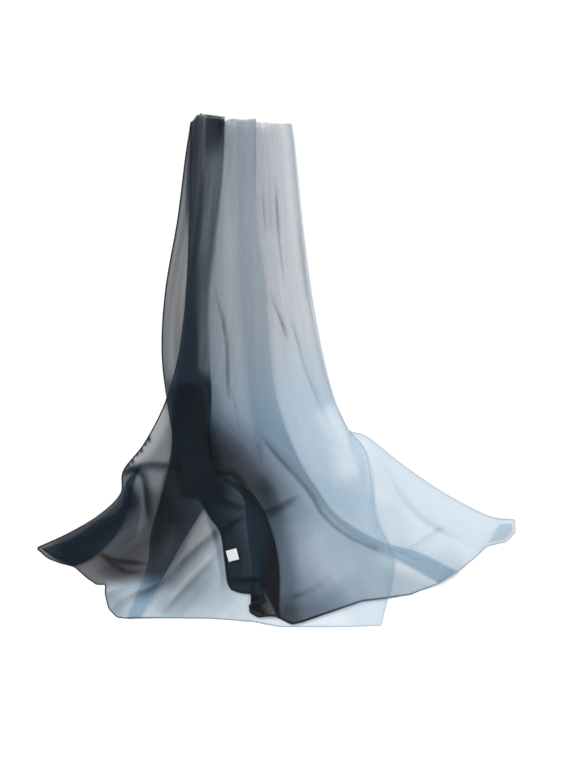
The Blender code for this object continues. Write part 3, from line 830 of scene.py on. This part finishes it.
# %% The label
LABEL_AT, LABEL_SIZE, LABEL_TILT = np.array([-73.0, -308.0]), (18, 19), np.radians(15)
LABEL_THICK, LABEL_CURL, LABEL_LIFT = 0.35, 1.6, 1.6
LABEL_ROWS, LABEL_COLUMNS = 13, 11
share_x, share_y = np.meshgrid(np.linspace(-0.5, 0.5, LABEL_COLUMNS), np.linspace(-0.5, 0.5, LABEL_ROWS))
turned_x = np.array([np.cos(LABEL_TILT), np.sin(LABEL_TILT)])
turned_y = np.array([-np.sin(LABEL_TILT), np.cos(LABEL_TILT)])
label_plan = (
    LABEL_AT
    + share_x[..., None] * LABEL_SIZE[0] * turned_x
    + share_y[..., None] * LABEL_SIZE[1] * turned_y
)
flat = label_plan.reshape(-1, 2)
under = FLOOR_GAP + rise(flat) + stacked(flat, len(layer_plans)) + LABEL_LIFT
under += LABEL_CURL * (2 * share_x.ravel()) ** 2 * (0.5 - share_y.ravel())
low, high = np.column_stack([flat, under]), np.column_stack([flat, under + LABEL_THICK])
quads = quads_of(LABEL_ROWS, LABEL_COLUMNS)
index = np.arange(LABEL_ROWS * LABEL_COLUMNS).reshape(LABEL_ROWS, LABEL_COLUMNS)
border = np.r_[index[0, :-1], index[:-1, -1], index[-1, :0:-1], index[:0:-1, 0]]
after = np.roll(border, -1)
sides = np.stack([border, after, after + index.size, border + index.size], axis=1)
label_faces = np.vstack([quads, quads[:, ::-1] + index.size, sides])
label = add_mesh("care_label_tape", np.vstack([low, high]), label_faces)
give_map(label, "cut", np.tile(share_x.ravel() + 0.5, 2), np.tile(share_y.ravel() + 0.5, 2))

# %% [markdown]
# ## Materials
# One small function adds a node with its settings and links. Colours are written as sRGB hex, as a dyer
# or a designer would note them, and are turned to linear light for the shader.

# %% Nodes and colours
def linear(hex_colour):
    """The linear red, green, blue and alpha of an sRGB hex colour."""
    parts = [int(hex_colour[k:k + 2], 16) / 255 for k in (0, 2, 4)]
    return (*[p / 12.92 if p <= 0.04045 else ((p + 0.055) / 1.055) ** 2.4 for p in parts], 1.0)


def add(tree, kind, inputs=None, stops=None, **settings):
    """A new node with its settings, its inputs (values or sockets) and, for a ramp, its stops."""
    made = tree.nodes.new(kind)
    for name, value in settings.items():
        setattr(made, name, value)
    for name, value in (inputs or {}).items():
        if isinstance(value, bpy.types.NodeSocket):
            tree.links.new(value, made.inputs[name])
        else:
            made.inputs[name].default_value = value
    if stops:
        ramp = made.color_ramp
        while len(ramp.elements) < len(stops):
            ramp.elements.new(1.0)
        for element, (position, colour) in zip(ramp.elements, stops):
            element.position = position
            element.color = colour
    return made


def new_material(name):
    made = bpy.data.materials.new(name)
    made.use_nodes = True
    made.node_tree.nodes.clear()
    return made, made.node_tree


# %% [markdown]
# ### Chiffon
# Polyester chiffon is a plain weave of very fine, tightly twisted threads set far apart. It is sheer, with
# a soft, slightly grainy surface and a faint sheen. The dye goes from black-navy to pale blue-grey across
# the cut. Dark dye also hides more of what is behind, so the cloth's cover follows the dye. The shader is
# one Principled BSDF whose alpha is that cover. Real chiffon's threads are a fraction of a millimetre
# apart, which is finer than the view can show. The ones drawn are about 3.2 mm apart along it. Across it
# they close up where the sheet is narrow, since they follow its share of the way across.

# %% The dye, as shares of the cut from the dark hem
DYE = (
    (-0.25, "1b2e3d"), (0.04, "172631"), (0.11, "131b24"), (0.16, "12171e"), (0.24, "141920"),
    (0.32, "2b3643"), (0.40, "4d6173"), (0.48, "6f8699"), (0.60, "7f97a8"), (0.67, "88a6b9"),
    (0.75, "91adc2"), (1.00, "95b3c8"),
)
# Painted shade: near the top fold the pale dye is made greyer, for the shade among the gathers
DYE_AND_SHADE_NEAR_TOP = (
    (-0.25, "182633"), (0.04, "152029"), (0.11, "131a22"), (0.16, "12171e"), (0.24, "14191f"),
    (0.32, "272f3a"), (0.40, "5a6876"), (0.48, "78848f"), (0.60, "86919d"), (0.67, "94a2ad"),
    (0.75, "a4acb5"), (1.00, "abb2ba"),
)
COVERS = (
    (-0.25, 0.62), (0.12, 0.64), (0.27, 0.64), (0.40, 0.52), (0.48, 0.45),
    (0.60, 0.42), (0.67, 0.40), (0.75, 0.37), (1.0, 0.35),
)


def on_map(at):
    return (at + DARK_ROOM) / (1 + DARK_ROOM)


THREAD_TO_GAP = 0.0016  # metres from a drawn thread to the gap beside it: threads are twice as far apart
THREADS = (CUT_WIDTH / THREAD_TO_GAP, CUT_LENGTH / THREAD_TO_GAP)

POLYESTER = 1.57  # its index of refraction

chiffon, tree = new_material("woven_polyester_chiffon")
cut = add(tree, "ShaderNodeUVMap", uv_map="cut")
axes = add(tree, "ShaderNodeSeparateXYZ", {"Vector": cut.outputs["UV"]})

spread = add(tree, "ShaderNodeUVMap", uv_map="dye")
spread_axes = add(tree, "ShaderNodeSeparateXYZ", {"Vector": spread.outputs["UV"]})
dye_stops = [(on_map(at), linear(colour)) for at, colour in DYE]
dye = add(tree, "ShaderNodeValToRGB", {"Fac": spread_axes.outputs["X"]}, stops=dye_stops)
cover_stops = [(on_map(at), (c, c, c, 1)) for at, c in COVERS]
body = add(tree, "ShaderNodeValToRGB", {"Fac": spread_axes.outputs["X"]}, stops=cover_stops)

# %% Extra layers: each lets through the same share of what the last one let through
open_part = add(tree, "ShaderNodeMath", {0: 1.0, 1: body.outputs["Color"]}, operation="SUBTRACT")
layers = add(tree, "ShaderNodeMath", {0: 1.0, 1: spread_axes.outputs["Y"]}, operation="ADD")
let_through = add(tree, "ShaderNodeMath", {0: open_part.outputs[0], 1: layers.outputs[0]}, operation="POWER")
# The cover with its extra layers, which are partly bunched cloth and partly painted shade and painted
# highlight
cover_and_shade = add(tree, "ShaderNodeMath", {0: 1.0, 1: let_through.outputs[0]}, operation="SUBTRACT")

# %% Painted shade: the pale dye is greyer near the top fold, for the gathers' shade, and the colour is darker where there are extra layers
from_top = add(tree, "ShaderNodeMath", {0: axes.outputs["Y"], 1: 0.5}, operation="SUBTRACT")
from_top = add(tree, "ShaderNodeMath", {0: from_top.outputs[0]}, operation="ABSOLUTE")
near_top = add(
    tree, "ShaderNodeMapRange",
    {"Value": from_top.outputs[0], "From Min": 0.30, "From Max": 0.18, "To Min": 0.0, "To Max": 1.0},
    interpolation_type="SMOOTHSTEP",
)
top_stops = [(on_map(at), linear(colour)) for at, colour in DYE_AND_SHADE_NEAR_TOP]
shaded_top_dye = add(tree, "ShaderNodeValToRGB", {"Fac": spread_axes.outputs["X"]}, stops=top_stops)
greyed = add(
    tree, "ShaderNodeMix",
    {"Factor": near_top.outputs[0], 6: dye.outputs["Color"], 7: shaded_top_dye.outputs["Color"]},
    data_type="RGBA",
)
# painted shade: the colour falls to a quarter where there are 1.2 extra layers or more
layer_shade = add(
    tree, "ShaderNodeMapRange",
    {"Value": spread_axes.outputs["Y"], "From Min": 0.4, "From Max": 1.2, "To Min": 1.0, "To Max": 0.25},
)

# %% Slubs: narrow streaks along the cloth, a decimetre or two long, that are a little denser
slub_place = add(tree, "ShaderNodeVectorMath", {0: cut.outputs["UV"], 1: (260, 9, 1)}, operation="MULTIPLY")
slub = add(tree, "ShaderNodeTexNoise", {"Vector": slub_place.outputs[0], "Scale": 1.0, "Detail": 3.0})
slub_span = add(
    tree, "ShaderNodeMapRange",
    {"Value": slub.outputs["Fac"], "From Min": 0.3, "From Max": 0.7, "To Min": 0.97, "To Max": 1.03},
)
# the slubs' grain times the painted shade of the extra layers
tone = add(tree, "ShaderNodeMath", {0: slub_span.outputs[0], 1: layer_shade.outputs[0]}, operation="MULTIPLY")
toned = add(tree, "ShaderNodeVectorMath", {0: greyed.outputs[2], "Scale": tone.outputs[0]}, operation="SCALE")
covered = add(
    tree, "ShaderNodeMath", {0: cover_and_shade.outputs[0], 1: slub_span.outputs[0]},
    operation="MULTIPLY", use_clamp=True,
)

# %% The weave: two sets of threads that cross
weave_place = add(
    tree, "ShaderNodeVectorMath", {0: cut.outputs["UV"], 1: (*THREADS, 1)}, operation="MULTIPLY"
)
weave_axes = add(tree, "ShaderNodeSeparateXYZ", {"Vector": weave_place.outputs[0]})
weft = add(tree, "ShaderNodeMath", {0: weave_axes.outputs["X"], 1: 1.0}, operation="PINGPONG")
warp = add(tree, "ShaderNodeMath", {0: weave_axes.outputs["Y"], 1: 1.0}, operation="PINGPONG")
threads = add(tree, "ShaderNodeMath", {0: weft.outputs[0], 1: warp.outputs[0]}, operation="ADD")
weave_bump = add(tree, "ShaderNodeBump", {"Height": threads.outputs[0], "Strength": 0.06, "Distance": 0.0002})

# %% The chiffon's shader
surface = add(
    tree, "ShaderNodeBsdfPrincipled",
    {
        "Base Color": toned.outputs[0], "Alpha": covered.outputs[0], "Roughness": 0.6, "IOR": POLYESTER,
        "Specular IOR Level": 0.08, "Sheen Weight": 0.02, "Sheen Roughness": 0.45,
        "Sheen Tint": linear("dfe8f2"), "Normal": weave_bump.outputs[0],
    },
)
add(tree, "ShaderNodeOutputMaterial", {"Surface": surface.outputs[0]})
for piece in (sheet, turned_tip):
    piece.data.materials.append(chiffon)

# %% [markdown]
# ### Hem, stitches and label
# The roll is several layers of the same cloth, so it hides what is behind it and looks darker and duller.
# Its dye changes with the cut, as the cloth's does. The overlock thread is spun polyester, a little
# lighter and shinier, and the label is a satin-woven polyester tape.

# %% A dyed cord: its colours from the dark edge to the pale one, and a fine grain
HEM_DYE = ((0.0, "0d1219"), (0.35, "141d28"), (0.5, "445465"), (0.7, "8595a3"), (1.0, "aeb8c0"))
THREAD_DYE = ((0.0, "151b23"), (0.35, "1f2934"), (0.5, "54636f"), (0.7, "94a2ae"), (1.0, "b7c4cf"))


def dyed_cord(piece, name, colours, fineness, bump, depth, roughness, specular):
    """Gives a piece a dyed material whose grain has this fineness, bump strength and depth in metres."""
    made, tree = new_material(name)
    cut = add(tree, "ShaderNodeUVMap", uv_map="cut")
    axes = add(tree, "ShaderNodeSeparateXYZ", {"Vector": cut.outputs["UV"]})
    stops = [(at, linear(colour)) for at, colour in colours]
    dye = add(tree, "ShaderNodeValToRGB", {"Fac": axes.outputs["X"]}, stops=stops)
    place = add(tree, "ShaderNodeNewGeometry")
    grain = add(
        tree, "ShaderNodeTexNoise", {"Vector": place.outputs["Position"], "Scale": fineness, "Detail": 2.0}
    )
    grain_bump = add(
        tree, "ShaderNodeBump", {"Height": grain.outputs["Fac"], "Strength": bump, "Distance": depth}
    )
    surface = add(
        tree, "ShaderNodeBsdfPrincipled",
        {
            "Base Color": dye.outputs["Color"], "Roughness": roughness, "IOR": POLYESTER,
            "Specular IOR Level": specular, "Normal": grain_bump.outputs[0],
        },
    )
    add(tree, "ShaderNodeOutputMaterial", {"Surface": surface.outputs[0]})
    piece.data.materials.append(made)


dyed_cord(hem, "rolled_chiffon_hem", HEM_DYE, 900.0, 0.35, 0.0004, roughness=0.65, specular=0.1)
dyed_cord(stitches, "spun_polyester_thread", THREAD_DYE, 2500.0, 0.2, 0.0002, roughness=0.45, specular=0.25)

# %% The label's tape
RIB_TO_GAP = 0.5  # mm from a drawn rib to the gap beside it: ribs are twice as far apart
TAPE_THREADS = (LABEL_SIZE[0] / RIB_TO_GAP, LABEL_SIZE[1] / RIB_TO_GAP)
tape, tree = new_material("satin_woven_label_tape")
cut = add(tree, "ShaderNodeUVMap", uv_map="cut")
ribs_place = add(
    tree, "ShaderNodeVectorMath", {0: cut.outputs["UV"], 1: (*TAPE_THREADS, 1)}, operation="MULTIPLY"
)
ribs_axes = add(tree, "ShaderNodeSeparateXYZ", {"Vector": ribs_place.outputs[0]})
ribs = add(tree, "ShaderNodeMath", {0: ribs_axes.outputs["Y"], 1: 1.0}, operation="PINGPONG")
ribs_bump = add(tree, "ShaderNodeBump", {"Height": ribs.outputs[0], "Strength": 0.3, "Distance": 0.0002})
tape_stops = [(0, linear("b4b9bd")), (1, linear("d6d9da"))]
tape_tone = add(tree, "ShaderNodeValToRGB", {"Fac": ribs.outputs[0]}, stops=tape_stops)
surface = add(
    tree, "ShaderNodeBsdfPrincipled",
    {
        "Base Color": tape_tone.outputs["Color"], "Roughness": 0.42, "IOR": POLYESTER, "Sheen Weight": 0.1,
        "Normal": ribs_bump.outputs[0],
    },
)
add(tree, "ShaderNodeOutputMaterial", {"Surface": surface.outputs[0]})
label.data.materials.append(tape)

# %% [markdown]
# ## What stands for what
# The sheet, the hem and the label take the place of the CAD walls, which stay behind for collision,
# hidden. The length of the sheet's widest row is worked out, to set against the cut's width. Its width
# isn't known by itself, so it is worked out from the sheet's own area.

# %% Pieces and nodes
for piece in (sheet, turned_tip, hem, stitches, label):
    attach(piece, "root")
hem_nodes = [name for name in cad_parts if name.startswith("hem_")]
cloth_nodes = [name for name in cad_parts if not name.startswith("hem_") and name != "care_label"]
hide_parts(*[name for name in cloth_nodes if name != "tip_turn"])
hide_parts("tip_turn")
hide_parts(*hem_nodes)
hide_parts("care_label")

across_rows = np.linalg.norm(cloth[:, 1:] - cloth[:, :-1], axis=2).sum(1) * MM
print("its widest row is", round(float(across_rows.max()), 3), "m, of a cut", CUT_WIDTH, "m wide")

# %% [markdown]
# ## Light and camera
# The scarf lies on a white table under even studio light, with a little more from the upper left so that
# the folds read. The camera looks straight down through a long lens, so perspective bends little.

# %% The table
TABLE = 9000  # mm from its middle to each side
table_corners = [(-TABLE, -TABLE, 0), (TABLE, -TABLE, 0), (TABLE, TABLE, 0), (-TABLE, TABLE, 0)]
floor = add_mesh("floor", table_corners, [(0, 1, 2, 3)])
paper, tree = new_material("white_paper")
surface = add(tree, "ShaderNodeBsdfPrincipled", {"Base Color": linear("f4f4f4"), "Roughness": 0.9})
add(tree, "ShaderNodeOutputMaterial", {"Surface": surface.outputs[0]})
floor.data.materials.append(paper)

# %% The light
world = bpy.data.worlds.new("studio")
bpy.context.scene.world = world
world.use_nodes = True
world.node_tree.nodes["Background"].inputs["Color"].default_value = (1, 1, 1, 1)
world.node_tree.nodes["Background"].inputs["Strength"].default_value = 0.9
key = bpy.data.lights.new("key", "SUN")
key.energy = 2.0
key.angle = np.radians(20)
lamp = bpy.data.objects.new("key", key)
lamp.rotation_euler = (np.radians(48), 0, np.radians(225))
bpy.context.scene.collection.objects.link(lamp)

# %% The camera
lens = bpy.data.cameras.new("camera")
lens.lens = 100
lens.sensor_width = 36
camera = bpy.data.objects.new("camera", lens)
camera.location = (0.0192, -0.0233, 3.556)
bpy.context.scene.collection.objects.link(camera)
bpy.context.scene.camera = camera
bpy.context.scene.view_settings.view_transform = "Standard"
bpy.context.scene.cycles.transparent_max_bounces = 40

# %% [markdown]
# ## Done

# %% The end
bpy.context.view_layer.update()
